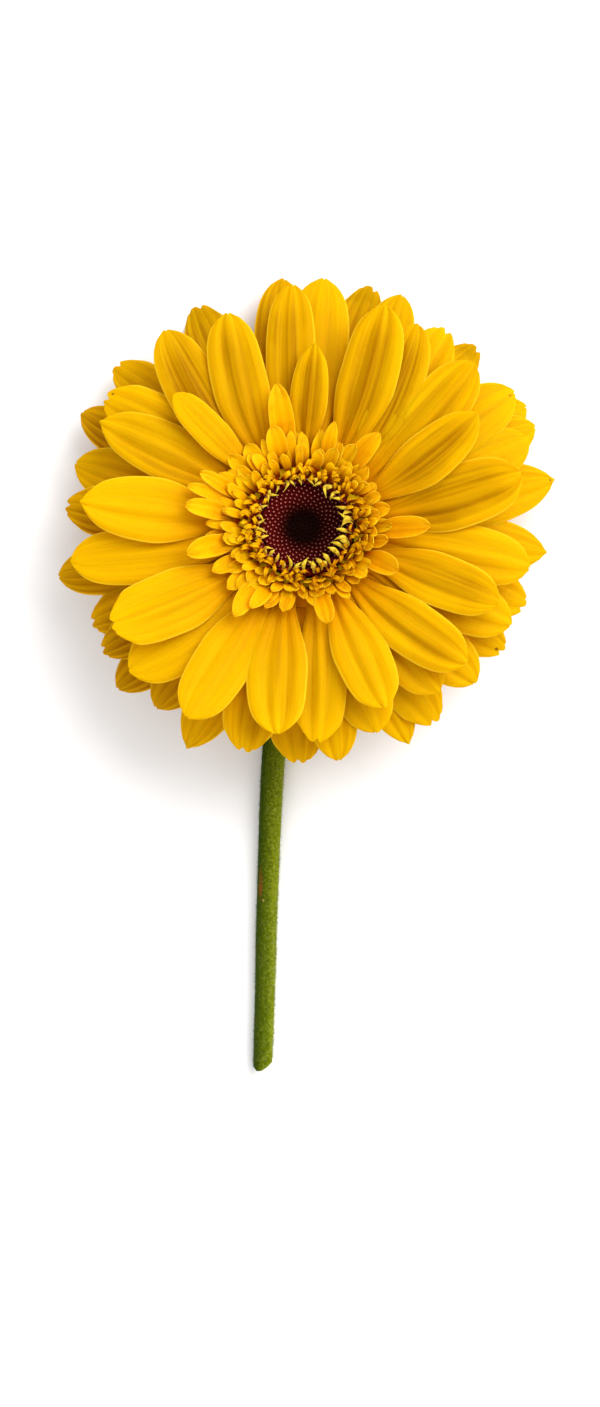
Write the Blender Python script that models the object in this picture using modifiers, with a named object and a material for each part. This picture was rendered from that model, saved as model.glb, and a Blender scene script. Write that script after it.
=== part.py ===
"""A cut gerbera lying face up: its bloom, green involucre and bent stem, at real size, in metres.

The table is the plane z = 0. The bloom looks up and leans a little away from its stem, so it rests on
the tips of three drooping back petals and on the flat underside of the stem.
"""

import math
import random
from collections import namedtuple

import bmesh
import bpy
from mathutils import Matrix, Vector

MM = 0.001

# The bloom's own frame has its origin in the middle of the receptacle's face and +Z out of the face.
LEAN = math.radians(12)  # the face leans this far from level, towards +Y
GAP = 0.3 * MM  # between neighbouring pieces
BLADE = 0.66 * MM  # thickness of every petal and bract

# Sections of the rings that carry the petals and florets round the receptacle's platform: radius and
# height in the bloom's frame, in millimetres.
PLATFORM_RADIUS = 12.2  # millimetres
RAY_RING = ((17.6, -1.1), (17.6, -2.4), (15.9, -3.2), (12.6, -3.2), (12.6, -0.35), (14.6, -0.35))
INNER_RING = ((14.4, 1.3), (14.4, 0.0), (11.7, 0.0), (11.7, 1.3))
OPEN_RING = ((11.25, 1.6), (11.25, 0.0), (9.6, 0.0), (9.6, 1.6))
INVOLUCRE_DEPTH = 11.5 * MM

# The stem leaves the involucre, bends level just above the table and runs out along it.
NECK_RADIUS = 3.0 * MM
NECK_STRAIGHT = 1.0 * MM
NECK_BEND_RADIUS = 11.0 * MM
PRESSED = 0.12 * MM  # how much of the stem's and the resting tips' underside the table flattens
STEM_RUN = (  # x, y and radius of the level stem, in millimetres
    (-2.6, -30.0, 2.85),
    (-6.3, -48.0, 2.66),
    (-7.9, -82.0, 2.36),
    (-8.4, -102.0, 2.25),
    (-9.1, -124.0, 2.10),
)
CUT_POINT = Vector((-8.9 * MM, -119.2 * MM, 2.1 * MM))
CUT_NORMAL = Vector((0.50, -0.82, -0.28))

# Bearings are in degrees from +X towards +Y, and lengths in millimetres, as seen from straight above.
Ray = namedtuple("Ray", "bearing reach width level root tip")
RAYS = (
    Ray(11.2, 56.9, 14.0, 0, 9, "pointed"),
    Ray(14.0, 49.7, 14.3, 5, 9, "round"),
    Ray(21.5, 53.8, 13.0, 3, 20, "round"),
    Ray(24.0, 56.4, 12.0, 1, 25, "round"),
    Ray(29.0, 56.7, 12.5, 0, 31, "round"),
    Ray(33.2, 55.9, 13.5, 3, 33, "round"),
    Ray(33.5, 46.5, 11.5, 7, 26, "pointed"),
    Ray(44.3, 52.7, 13.0, 5, 38, "round"),
    Ray(46.5, 55.6, 10.8, 1, 48, "notched"),
    Ray(54.3, 53.9, 12.5, 3, 53, "notched"),
    Ray(60.7, 52.0, 11.0, 5, 51, "round"),
    Ray(67.2, 55.6, 12.0, 2, 64, "round"),
    Ray(69.8, 52.1, 12.8, 6, 63, "round"),
    Ray(74.3, 55.1, 11.0, 0, 77, "notched"),
    Ray(85.3, 54.8, 14.0, 3, 86, "round"),
    Ray(86.3, 41.0, 8.4, 7, 88.5, "pointed"),
    Ray(92.5, 53.3, 11.0, 5, 96, "round"),
    Ray(94.6, 55.0, 11.8, 2, 101, "round"),
    Ray(109.3, 50.1, 12.4, 6, 118, "round"),
    Ray(115.5, 54.2, 12.0, 1, 117, "notched"),
    Ray(124.8, 53.6, 12.5, 5, 133, "round"),
    Ray(133.8, 41.2, 7.4, 7, 133.5, "round"),
    Ray(139.2, 55.3, 11.8, 1, 134, "notched"),
    Ray(146.4, 52.6, 13.0, 4, 141, "notched"),
    Ray(152.4, 55.6, 11.5, 0, 153, "round"),
    Ray(152.2, 50.8, 12.8, 5, 149, "pointed"),
    Ray(164.0, 52.6, 13.0, 1, 165, "round"),
    Ray(173.2, 49.6, 14.6, 6, 173, "pointed"),
    Ray(174.5, 52.8, 12.0, 2, 177, "notched"),
    Ray(187.8, 51.8, 12.8, 4, 191.5, "round"),
    Ray(191.0, 55.2, 12.0, 0, 193, "round"),
    Ray(204.3, 51.2, 11.8, 1, 206, "notched"),
    Ray(206.8, 47.4, 14.3, 6, 213, "notched"),
    Ray(211.6, 52.0, 10.5, 2, 214, "notched"),
    Ray(219.6, 49.7, 14.0, 4, 227, "round"),
    Ray(220.7, 54.2, 11.5, 0, 222, "round"),
    Ray(230.6, 51.3, 12.0, 1, 231, "round"),
    Ray(238.6, 49.0, 13.0, 6, 240, "round"),
    Ray(242.2, 55.0, 13.0, 0, 243, "pointed"),
    Ray(255.5, 51.0, 13.0, 3, 251, "notched"),
    Ray(263.0, 45.8, 13.4, 6, 256.5, "round"),
    Ray(269.3, 51.9, 13.3, 1, 266, "notched"),
    Ray(273.6, 47.4, 11.5, 4, 280, "notched"),
    Ray(278.7, 51.9, 11.5, 2, 279, "round"),
    Ray(290.0, 48.0, 13.0, 3, 290, "round"),
    Ray(294.6, 43.5, 12.2, 6, 295, "round"),
    Ray(296.2, 53.1, 11.5, 0, 297, "pointed"),
    Ray(304.3, 52.0, 12.2, 1, 303, "notched"),
    Ray(309.6, 47.0, 12.0, 4, 309, "round"),
    Ray(318.3, 51.2, 12.8, 2, 319, "round"),
    Ray(320.4, 46.7, 12.4, 6, 314, "round"),
    Ray(328.8, 52.0, 11.2, 0, 330, "notched"),
    Ray(335.3, 50.7, 12.6, 3, 333, "round"),
    Ray(339.2, 46.2, 11.8, 6, 339, "round"),
    Ray(341.0, 52.1, 12.5, 1, 343, "notched"),
    Ray(350.2, 50.9, 12.8, 4, 353, "round"),
    Ray(354.5, 54.3, 13.0, 0, 356, "pointed"),
)
RESTING_BEARINGS = (46.5, 74.3, 115.5)  # these back petals droop until they lie on the table
ROOT_RADIUS = 14.2  # in millimetres, where every ray starts inside its ring
ROOT_HEIGHT, ROOT_STEP = -2.86, 0.29  # local height of a level 0 root, and what each level adds
MIDDLE_HEIGHT, MIDDLE_STEP = -4.0, 1.1  # the same half way along a ray
TIP_HEIGHTS = (-12.0, -10.0, -7.6, -4.6, -1.2, 2.2, 4.6, 6.2)  # at its tip, by level: the front row is a bowl
RESTING_DROP = 3.4  # millimetres: how far a resting tip would go through the table if it could
EYE_SHIFT = 0.4  # millimetres: how far the raised eye shows towards +Y from the frame's origin

# Small inner petals: a rule for three rows, and the longer ones that stand out of them.
# Lengths and heights are in millimetres.
InnerRow = namedtuple("InnerRow", "count root reach width root_height tip_height")
INNER_ROWS = (
    InnerRow(25, 13.8, 21.0, 3.8, 0.80, 4.7),
    InnerRow(23, 13.1, 18.4, 3.3, 0.85, 5.2),
    InnerRow(21, 12.4, 16.0, 2.8, 0.90, 5.6),
)
LongInner = namedtuple("LongInner", "bearing reach width")
LONG_INNERS = (
    LongInner(51.4, 26.6, 5.0),
    LongInner(72.2, 24.1, 3.2),
    LongInner(101.9, 32.0, 5.2),
    LongInner(154.3, 25.5, 3.4),
    LongInner(161.8, 27.0, 3.0),
    LongInner(171.3, 26.4, 4.2),
    LongInner(193.8, 26.6, 4.8),
    LongInner(232.5, 26.1, 4.6),
    LongInner(241.7, 22.6, 3.6),
    LongInner(283.6, 23.4, 4.2),
    LongInner(333.0, 23.7, 4.8),
    LongInner(357.0, 28.1, 4.8),
)
LONG_INNER_TIP = 6.0  # height of their tips

OPEN_FLORETS = (  # count, root radius, tip radius, root height, tip height
    (22, 10.6, 8.9, 1.0, 4.5),
    (26, 10.4, 13.1, 1.1, 5.5),
)
OPEN_FLORET_WIDTH = 1.2

EYE_RINGS = (1.6, 2.6, 3.6, 4.6, 5.6, 6.6, 7.5, 8.4)  # the eye's buds lie on these radii
EYE_SPOKES = 40  # every other one of them carries a bud, by turns
EYE_EDGE = 9.15
EYE_HOLLOW = (0.9, 1.7)  # height of the dish in its middle, and how much higher its edge is
BUD_HEIGHT = 0.65

BractRow = namedtuple("BractRow", "count start end width top")
CUP_PROFILE = (  # radius and height of the involucre's outside, from its foot to its rim
    (3.4, -11.5),
    (5.4, -11.0),
    (9.0, -9.9),
    (12.6, -8.0),
    (14.7, -5.7),
    (15.6, -3.65),
)
BRACT_ROWS = (  # start and end are places along the cup's profile, 0 at the foot and 1 at the rim
    BractRow(10, 0.12, 0.60, 4.6, 0.9),
    BractRow(12, 0.28, 0.83, 4.8, 0.65),
    BractRow(14, 0.46, 0.94, 4.8, 0.4),
)
BRACT_HALF_WIDTHS = (0.8, 1.0, 0.25)  # at its foot, middle and tip, as shares of its half width
BRACT_SINK = 0.5  # how far a bract's inside lies under the cup's surface, in millimetres
BRACT_TILT = 0.11  # how much higher one edge lies than the middle, in millimetres

YELLOW = (0.93, 0.56, 0.005)
WARM_YELLOW = (0.90, 0.47, 0.008)
FLORET_YELLOW = (0.82, 0.50, 0.04)
DARK_MAROON = (0.030, 0.004, 0.006)
LEAF_GREEN = (0.13, 0.22, 0.02)
STEM_GREEN = (0.17, 0.25, 0.02)


def clear_scene():
    for old in list(bpy.data.objects):
        bpy.data.objects.remove(old, do_unlink=True)


def new_collection(name):
    collection = bpy.data.collections.new(name)
    bpy.context.scene.collection.children.link(collection)
    return collection


def make_material(name, color, roughness):
    material = bpy.data.materials.new(name)
    material.use_nodes = True
    shader = material.node_tree.nodes["Principled BSDF"]
    shader.inputs["Base Color"].default_value = (*color, 1.0)
    shader.inputs["Roughness"].default_value = roughness
    shader.inputs["Metallic"].default_value = 0.0
    return material


def bearing_vector(degrees):
    angle = math.radians(degrees)
    return Vector((math.cos(angle), math.sin(angle), 0.0))


def smooth(x):
    x = min(1.0, max(0.0, x))
    return x * x * (3.0 - 2.0 * x)


def arc(start, middle, end, t):
    """A curve through three values at t = 0, 0.5 and 1."""
    return (
        start * (1 - t) * (1 - 2 * t) + 4 * middle * t * (1 - t) + end * t * (2 * t - 1)
    )


def along(points, share):
    """The point at this share of a polyline's length."""
    lengths = [(b - a).length for a, b in zip(points, points[1:])]
    left = share * sum(lengths)
    for a, b, length in zip(points, points[1:], lengths):
        if left <= length:
            return a.lerp(b, left / length)
        left -= length
    return points[-1].copy()


def sheet(name, columns, rows, place, collection, thickness=BLADE):
    """A thin blade: a grid whose points place(u, t) puts, u from -1 to 1 across and t from 0 to 1 along."""
    mesh = bpy.data.meshes.new(name)
    bm = bmesh.new()
    bmesh.ops.create_grid(bm, x_segments=columns, y_segments=rows, size=1.0)
    for vert in bm.verts:
        vert.co = place(vert.co.x, (vert.co.y + 1.0) / 2.0)
    bmesh.ops.remove_doubles(bm, verts=bm.verts, dist=0.01 * MM)
    bmesh.ops.triangulate(bm, faces=bm.faces, quad_method="SHORT_EDGE")
    bm.to_mesh(mesh)
    bm.free()
    blade = bpy.data.objects.new(name, mesh)
    collection.objects.link(blade)
    shell = blade.modifiers.new("thickness", "SOLIDIFY")
    shell.thickness = thickness
    shell.offset = 0.0
    return blade


def turned(name, profile, steps, collection, material):
    """A solid turned about Z from a profile of radius and height, in millimetres."""
    mesh = bpy.data.meshes.new(name)
    bm = bmesh.new()
    verts = [bm.verts.new((radius * MM, 0.0, height * MM)) for radius, height in profile]
    edges = [bm.edges.new(pair) for pair in zip(verts, verts[1:])]
    if profile[0][0] > 0:
        edges.append(bm.edges.new((verts[-1], verts[0])))
    bmesh.ops.spin(
        bm, geom=verts + edges, cent=(0, 0, 0), axis=(0, 0, 1), angle=2 * math.pi,
        steps=steps, use_merge=True,
    )
    bmesh.ops.remove_doubles(bm, verts=bm.verts, dist=0.01 * MM)
    bmesh.ops.recalc_face_normals(bm, faces=bm.faces)
    bm.to_mesh(mesh)
    bm.free()
    solid = bpy.data.objects.new(name, mesh)
    solid.data.materials.append(material)
    collection.objects.link(solid)
    return solid


def apply_modifiers(solid):
    """Makes the object's evaluated shape its mesh."""
    graph = bpy.context.evaluated_depsgraph_get()
    mesh = bpy.data.meshes.new_from_object(solid.evaluated_get(graph))
    solid.modifiers.clear()
    solid.data = mesh


def join_all(core, pieces):
    """Unites the core with every object of the pieces collection, which is then removed."""
    union = core.modifiers.new("join", "BOOLEAN")
    union.operation = "UNION"
    union.operand_type = "COLLECTION"
    union.collection = pieces
    union.solver = "MANIFOLD"
    bpy.context.view_layer.update()
    apply_modifiers(core)
    for piece in list(pieces.objects):
        bpy.data.objects.remove(piece, do_unlink=True)
    bpy.data.collections.remove(pieces)


def box_cutter(name, size, cutters):
    mesh = bpy.data.meshes.new(name)
    bm = bmesh.new()
    bmesh.ops.create_cube(bm, size=1.0)
    bmesh.ops.scale(bm, vec=size, verts=bm.verts)
    bm.to_mesh(mesh)
    bm.free()
    cutter = bpy.data.objects.new(name, mesh)
    cutter.display_type = "WIRE"
    cutter.hide_render = True
    cutters.objects.link(cutter)
    return cutter


def cut_away(solid, cutter):
    cut = solid.modifiers.new("cut", "BOOLEAN")
    cut.operation = "DIFFERENCE"
    cut.object = cutter
    cut.solver = "MANIFOLD"
    bpy.context.view_layer.update()
    apply_modifiers(solid)


def shade(solid, degrees=40):
    solid.data.shade_smooth()
    solid.data.set_sharp_from_angle(angle=math.radians(degrees))


def receptacle_height():
    """Height of the bloom frame's origin over the table, from what carries it."""
    bend = math.pi / 2 - LEAN
    stem_axis = NECK_RADIUS - PRESSED
    neck = (INVOLUCRE_DEPTH + GAP + NECK_STRAIGHT) * math.cos(LEAN)
    return stem_axis + NECK_BEND_RADIUS * (1 - math.cos(bend)) + neck


def bloom_matrix():
    lean = Matrix.Rotation(-LEAN, 4, "X")
    return Matrix.Translation((0, 0, receptacle_height())) @ lean


STATIONS = (0.0, 0.24, 0.52, 0.76, 0.91, 1.0)  # places along a ray
HALF_WIDTHS = {  # at those places, as shares of the ray's own half width
    "round": (0.28, 0.62, 0.96, 0.97, 0.70, 0.20),
    "notched": (0.28, 0.62, 0.96, 0.99, 0.80, 0.46),
    "pointed": (0.28, 0.64, 0.97, 0.92, 0.62, 0.14),
}


def tip_setback(tip, u):
    """How far the last row steps back from the tip, in millimetres, across the ray."""
    if tip == "notched":
        return 1.4 if abs(u) < 0.2 else 0.5 * abs(u)
    return 0.8 * abs(u) ** 2


def ray_line(ray):
    """The ray's middle line as a function of t: its place seen from above, and its local height."""
    root = bearing_vector(ray.root) * ROOT_RADIUS
    tip = bearing_vector(ray.bearing) * ray.reach
    guide = root + bearing_vector(ray.root) * (0.45 * (ray.reach - ROOT_RADIUS))
    root_z = ROOT_HEIGHT + ROOT_STEP * ray.level
    middle_z = MIDDLE_HEIGHT + MIDDLE_STEP * ray.level
    tip_z = TIP_HEIGHTS[ray.level]
    if ray.bearing in RESTING_BEARINGS:
        below = -receptacle_height() / MM - RESTING_DROP
        tip_z = below * math.cos(LEAN) + (tip.y + EYE_SHIFT) * math.sin(LEAN)

    def place(t):
        flat = root * (1 - t) ** 2 + guide * (2 * t * (1 - t)) + tip * t * t
        return flat, arc(root_z, middle_z, tip_z, t)

    return place


def raised(flat, local_height):
    """World place of a point seen from above at flat, in millimetres, at a height in the bloom's frame.

    The table stops it, but for the little that is pressed flat.
    """
    drop = (flat.y + EYE_SHIFT) * math.tan(LEAN)
    height = receptacle_height() + (local_height / math.cos(LEAN) - drop) * MM
    return Vector((flat.x * MM, flat.y * MM, max(height, BLADE / 2 - PRESSED)))


def make_ray(ray, collection):
    line = ray_line(ray)
    widths = HALF_WIDTHS[ray.tip]
    if ray.level < 4:
        across, crown = (-1.0, 0.0, 1.0), (-0.05, 0.02, -0.05)
    else:
        # Down at the edges, with a groove either side of a low middle ridge.
        across, crown = (-1.0, -0.45, 0.0, 0.45, 1.0), (-0.06, -0.012, 0.035, -0.012, -0.06)

    def place(x, y):
        column = round((x + 1) / 2 * (len(across) - 1))
        row = round(y * (len(STATIONS) - 1))
        t = STATIONS[row]
        flat, height = line(t)
        ahead = (line(min(1.0, t + 0.02))[0] - line(t - 0.02)[0]).normalized()
        side = Vector((-ahead.y, ahead.x, 0.0))
        point = flat + side * (across[column] * widths[row] * ray.width / 2)
        if row == len(STATIONS) - 1:
            point -= ahead * tip_setback(ray.tip, across[column])
        return raised(point, height + crown[column] * ray.width * smooth(t * 3))

    return sheet("ray", len(across) - 1, len(STATIONS) - 1, place, collection)


def make_rays(collection, material):
    core = turned("ray_petals", RAY_RING, 36, collection, material)
    core.matrix_world = bloom_matrix()
    pieces = new_collection("ray pieces")
    for ray in RAYS:
        make_ray(ray, pieces)
    join_all(core, pieces)
    return core


def small_blade(name, bearing, root, reach, width, low, high, collection, twist=0.0):
    """A small tongue in the bloom's frame, in millimetres, that rises from low to high."""
    out = bearing_vector(bearing)
    side = Vector((-out.y, out.x, 0.0))

    def place(u, t):
        row = round(t * 2)
        share = (0.0, 0.6, 1.0)[row]
        half = (0.55, 1.0, 0.35)[row] * width / 2
        point = out * (root + (reach - root) * share) + side * (twist * row + u * half)
        return Vector((point.x, point.y, low + (high - low) * share)) * MM

    return sheet(name, 1, 2, place, collection)


def make_inner_petals(collection, material):
    rng = random.Random(11)
    core = turned("inner_petals", INNER_RING, 32, collection, material)
    pieces = new_collection("inner pieces")
    for number, row in enumerate(INNER_ROWS):
        step = 360 / row.count
        for index in range(row.count):
            bearing = (index + 0.5 * number) * step + rng.uniform(-0.18, 0.18) * step
            # The face shows its inner petals longer on its left and at its top.
            lean_out = 1.0 + 0.07 * math.cos(math.radians(bearing - 140))
            reach = row.reach * lean_out + rng.uniform(-0.5, 0.5)
            small_blade(
                "inner", bearing, row.root, reach, row.width * rng.uniform(0.9, 1.1),
                row.root_height, row.tip_height + rng.uniform(-0.2, 0.3), pieces,
                twist=rng.uniform(-0.2, 0.2),
            )
    for long in LONG_INNERS:
        small_blade(
            "long inner", long.bearing, INNER_ROWS[0].root, long.reach, long.width,
            INNER_ROWS[0].root_height, LONG_INNER_TIP, pieces,
        )
    join_all(core, pieces)
    core.matrix_world = bloom_matrix()
    return core


def make_open_florets(collection, material):
    rng = random.Random(23)
    core = turned("open_florets", OPEN_RING, 28, collection, material)
    pieces = new_collection("open pieces")
    for number, (count, root, reach, low, high) in enumerate(OPEN_FLORETS):
        step = 360 / count
        for index in range(count):
            bearing = (index + 0.5 * number) * step + rng.uniform(-0.2, 0.2) * step
            small_blade(
                "floret", bearing, root, reach + rng.uniform(-0.3, 0.3), OPEN_FLORET_WIDTH,
                low, high + rng.uniform(-0.3, 0.3), pieces, twist=rng.uniform(-0.25, 0.25),
            )
    join_all(core, pieces)
    core.matrix_world = bloom_matrix()
    return core


def make_eye(collection, material):
    low, rise = EYE_HOLLOW
    profile = [(0.0, low)]
    profile += [(radius, low + rise * (radius / EYE_EDGE) ** 2) for radius in EYE_RINGS]
    profile += [(EYE_EDGE, low + 0.7 * rise), (EYE_EDGE, 0.0), (0.0, 0.0)]
    eye = turned("dark_eye", profile, EYE_SPOKES, collection, material)
    bm = bmesh.new()
    bm.from_mesh(eye.data)
    buds = set()
    for vert in bm.verts:
        radius = vert.co.xy.length / MM
        place = min(range(len(EYE_RINGS)), key=lambda index: abs(EYE_RINGS[index] - radius))
        spoke = round(math.atan2(vert.co.y, vert.co.x) / (2 * math.pi) * EYE_SPOKES)
        if abs(EYE_RINGS[place] - radius) < 0.05 and (place + spoke) % 2 == 0:
            buds.add(vert)
    for vert in buds:
        vert.co.z += BUD_HEIGHT * MM
    # Faces split between their low corners, so that every bud has a point of its own.
    for face in list(bm.faces):
        low_corners = [vert for vert in face.verts if vert not in buds]
        if len(face.verts) == 4 and len(low_corners) == 2:
            bmesh.utils.face_split(face, *low_corners)
    bm.to_mesh(eye.data)
    bm.free()
    eye.matrix_world = bloom_matrix()
    return eye


def make_involucre(collection, material):
    top, shoulder, foot = RAY_RING[-1][1], CUP_PROFILE[-1][1], CUP_PROFILE[0][1]
    profile = [(0.0, top), (PLATFORM_RADIUS, top), (PLATFORM_RADIUS, shoulder)]
    profile += [*reversed(CUP_PROFILE), (0.0, foot)]
    core = turned("involucre", profile, 24, collection, material)
    cup = [Vector((r, 0.0, z)) for r, z in CUP_PROFILE]
    pieces = new_collection("bract pieces")
    for number, row in enumerate(BRACT_ROWS):
        for index in range(row.count):
            out = bearing_vector((index + 0.17 + 0.4 * number) * 360 / row.count)
            side = Vector((-out.y, out.x, 0.0))

            def place(u, t, row=row, out=out, side=side):
                step = round(t * 2)
                share = row.start + (row.end - row.start) * (0.0, 0.45, 1.0)[step]
                here = along(cup, share)
                ahead = (along(cup, min(1.0, share + 0.01)) - along(cup, share - 0.01)).normalized()
                # One edge lies over the neighbour and the other under it.
                lift = (row.top - BRACT_SINK) / 2 + BRACT_TILT * u
                radius = here.x + ahead.z * lift
                height = here.z - ahead.x * lift
                turn = u * BRACT_HALF_WIDTHS[step] * row.width / 2 / radius
                point = out * (radius * math.cos(turn)) + side * (radius * math.sin(turn))
                return Vector((point.x, point.y, height)) * MM

            sheet("bract", 1, 2, place, pieces, (row.top + BRACT_SINK) * MM)
    join_all(core, pieces)
    core.matrix_world = bloom_matrix()
    return core


def stem_route():
    """Points and radii of the stem's middle line, in metres, from the bloom to its cut end."""
    out_of_face = bloom_matrix().to_3x3() @ Vector((0, 0, 1))
    start = bloom_matrix() @ Vector((0, 0, -INVOLUCRE_DEPTH - GAP))
    points = [(start, NECK_RADIUS)]
    bend_start = start - out_of_face * NECK_STRAIGHT
    centre = bend_start + Vector((0, -math.cos(LEAN), math.sin(LEAN))) * NECK_BEND_RADIUS
    full = math.pi / 2 - LEAN
    steps = 6
    for step in range(steps + 1):
        angle = full * step / steps
        spoke = Matrix.Rotation(-angle, 3, "X") @ (bend_start - centre)
        points.append((centre + spoke, NECK_RADIUS))
    last = points[-1][0]
    run = [(Vector((last.x, last.y, 0)) / MM, NECK_RADIUS / MM)]
    run += [(Vector((x, y, 0)), radius) for x, y, radius in STEM_RUN]
    # A smooth curve through the level run's points.
    for index in range(len(run) - 1):
        before = run[max(index - 1, 0)][0]
        a, ra = run[index]
        b, rb = run[index + 1]
        after = run[min(index + 2, len(run) - 1)][0]
        into = Vector((0, -1, 0)) * (b - a).length if index == 0 else (b - before) / 2
        out = (after - a) / 2
        for step in range(1, 4):
            s = step / 3
            flat = (
                a * (2 * s**3 - 3 * s**2 + 1) + into * (s**3 - 2 * s**2 + s)
                + b * (-2 * s**3 + 3 * s**2) + out * (s**3 - s**2)
            )
            radius = (ra + (rb - ra) * s) * MM
            points.append((Vector((flat.x * MM, flat.y * MM, radius - PRESSED)), radius))
    return points


def make_stem(collection, cutters, material):
    route = stem_route()
    curve = bpy.data.curves.new("stem", "CURVE")
    curve.dimensions = "3D"
    curve.bevel_depth = 1.0
    curve.bevel_resolution = 4
    curve.use_fill_caps = True
    spline = curve.splines.new("POLY")
    spline.points.add(len(route) - 1)
    for point, (place, radius) in zip(spline.points, route):
        point.co = (*place, 1.0)
        point.radius = radius
    guide = bpy.data.objects.new("stem guide", curve)
    collection.objects.link(guide)
    bpy.context.view_layer.update()
    graph = bpy.context.evaluated_depsgraph_get()
    mesh = bpy.data.meshes.new_from_object(guide.evaluated_get(graph))
    bm = bmesh.new()
    bm.from_mesh(mesh)
    bmesh.ops.remove_doubles(bm, verts=bm.verts, dist=0.01 * MM)
    bm.to_mesh(mesh)
    bm.free()
    stem = bpy.data.objects.new("stem", mesh)
    stem.matrix_world = guide.matrix_world
    stem.data.materials.clear()
    stem.data.materials.append(material)
    collection.objects.link(stem)
    bpy.data.objects.remove(guide, do_unlink=True)
    slant = box_cutter("slant cutter", (30 * MM, 30 * MM, 30 * MM), cutters)
    turn = CUT_NORMAL.to_track_quat("Z", "Y").to_matrix().to_4x4()
    shift = CUT_POINT + CUT_NORMAL.normalized() * (15 * MM)
    slant.matrix_world = Matrix.Translation(shift) @ turn
    cut_away(stem, slant)
    return stem


def centre_on_table(nodes):
    """Moves the model so that its origin is on the table, under the middle of its box."""
    bpy.context.view_layer.update()
    corners = [node.matrix_world @ vert.co for node in nodes for vert in node.data.vertices]
    low = Vector([min(corner[axis] for corner in corners) for axis in range(3)])
    high = Vector([max(corner[axis] for corner in corners) for axis in range(3)])
    shift = Matrix.Translation((-(low.x + high.x) / 2, -(low.y + high.y) / 2, 0.0))
    for node in nodes:
        node.matrix_world = shift @ node.matrix_world


def build():
    clear_scene()
    parts = new_collection("cut gerbera")
    cutters = new_collection("cutters")
    nodes = [
        make_stem(parts, cutters, make_material("stem", STEM_GREEN, 0.55)),
        make_involucre(parts, make_material("involucre", LEAF_GREEN, 0.6)),
        make_rays(parts, make_material("ray petal", YELLOW, 0.5)),
        make_inner_petals(parts, make_material("inner petal", WARM_YELLOW, 0.5)),
        make_open_florets(parts, make_material("open floret", FLORET_YELLOW, 0.5)),
        make_eye(parts, make_material("dark eye", DARK_MAROON, 0.7)),
    ]
    # What lies on the table is pressed flat on it.
    table = box_cutter("table cutter", (300 * MM, 300 * MM, 20 * MM), cutters)
    table.location = (0, 0, -10 * MM)
    bpy.context.view_layer.update()
    for node in nodes:
        if node.name in ("stem", "ray_petals"):
            cut_away(node, table)
        shade(node)
    centre_on_table(nodes)


build()
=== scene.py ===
from math import atan2, cos, exp, hypot, pi, radians, sin, sqrt, tan
from random import randrange, seed, uniform

import bpy
from mathutils import Matrix, Vector


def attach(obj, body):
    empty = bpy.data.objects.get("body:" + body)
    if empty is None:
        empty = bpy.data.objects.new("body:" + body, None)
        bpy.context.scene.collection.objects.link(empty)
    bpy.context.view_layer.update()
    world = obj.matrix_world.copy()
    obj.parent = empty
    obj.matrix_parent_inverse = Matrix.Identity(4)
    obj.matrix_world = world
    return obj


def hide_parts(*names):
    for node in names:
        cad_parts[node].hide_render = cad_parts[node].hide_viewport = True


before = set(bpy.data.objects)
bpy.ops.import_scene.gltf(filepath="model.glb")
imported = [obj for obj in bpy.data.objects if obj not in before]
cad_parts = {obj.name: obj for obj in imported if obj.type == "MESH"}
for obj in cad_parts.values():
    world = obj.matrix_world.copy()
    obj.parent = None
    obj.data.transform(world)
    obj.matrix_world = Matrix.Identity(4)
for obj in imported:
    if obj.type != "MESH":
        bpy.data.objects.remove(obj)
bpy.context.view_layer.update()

mm = 0.001

# where the bloom's own frame lies: its origin is the middle of the receptacle's face, and +Z looks out of it
bloom = {
    "middle": Vector((-0.8121, 32.8585, 24.1133)),  # mm
    "lean": radians(12),  # away from the stem
    "hinge": 0.4,  # the line it leans about lies this far towards the stem
}
bloomPlace = Matrix.Translation(bloom["middle"]) @ Matrix.Rotation(-bloom["lean"], 4, "X")
bloomShift = Vector((bloom["middle"].x, bloom["middle"].y, 0))

finish = {
    "smoothBelow": 50,  # degrees between faces
    "settleBelow": 0.00005,  # m, lower points are laid on the table
    "merge": 0.001,  # mm
}


# small helpers, all lengths in millimetres until a piece is finished

def makeActive(piece):
    bpy.ops.object.select_all(action="DESELECT")
    piece.select_set(True)
    bpy.context.view_layer.objects.active = piece


def editMode():
    bpy.ops.object.mode_set(mode="EDIT")
    bpy.ops.mesh.select_all(action="SELECT")


def objectMode():
    bpy.ops.object.mode_set(mode="OBJECT")


def clamp(x):
    return min(1, max(0, x))


def smooth(x):
    x = clamp(x)
    return x * x * (3 - 2 * x)


def bump(x, middle, width):
    return exp(-((x - middle) / width) ** 2)


def arc(start, middle, end, t):
    return start * (1 - t) * (1 - 2 * t) + 4 * middle * t * (1 - t) + end * t * (2 * t - 1)


def stray(most):
    return uniform(-most, most)


def draw(table, *keys):
    # random numbers, each from a range in the table, or up to its number to either side
    spans = [table[key] for key in keys]
    return [uniform(*span) if isinstance(span, tuple) else stray(span) for span in spans]


def rowsRound(rows, shift, most):
    # even steps round the bloom, each with a random miss of up to a share of a step
    for number, (count, *measures) in enumerate(rows):
        step = 360 / count
        for index in range(count):
            yield (index + shift * number) * step + stray(most) * step, *measures


def outwards(degrees):
    angle = radians(degrees)
    return Vector((cos(angle), sin(angle), 0))


def sideways(out):
    return Vector((-out.y, out.x, 0))


def towards(bearing, favoured):
    # 1 at the favoured bearing of the bloom, -1 opposite
    return cos(radians(bearing - favoured))


def inBloom(flat, height):
    return bloomPlace @ Vector((flat.x, flat.y, height))


def placeInScene(name, data):
    item = bpy.data.objects.new(name, data)
    bpy.context.scene.collection.objects.link(item)
    return item


def addAttribute(piece, name, values):
    # one number for each vertex, which a material reads
    layer = piece.data.attributes.new(name, "FLOAT", "POINT")
    layer.data.foreach_set("value", values)


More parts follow.
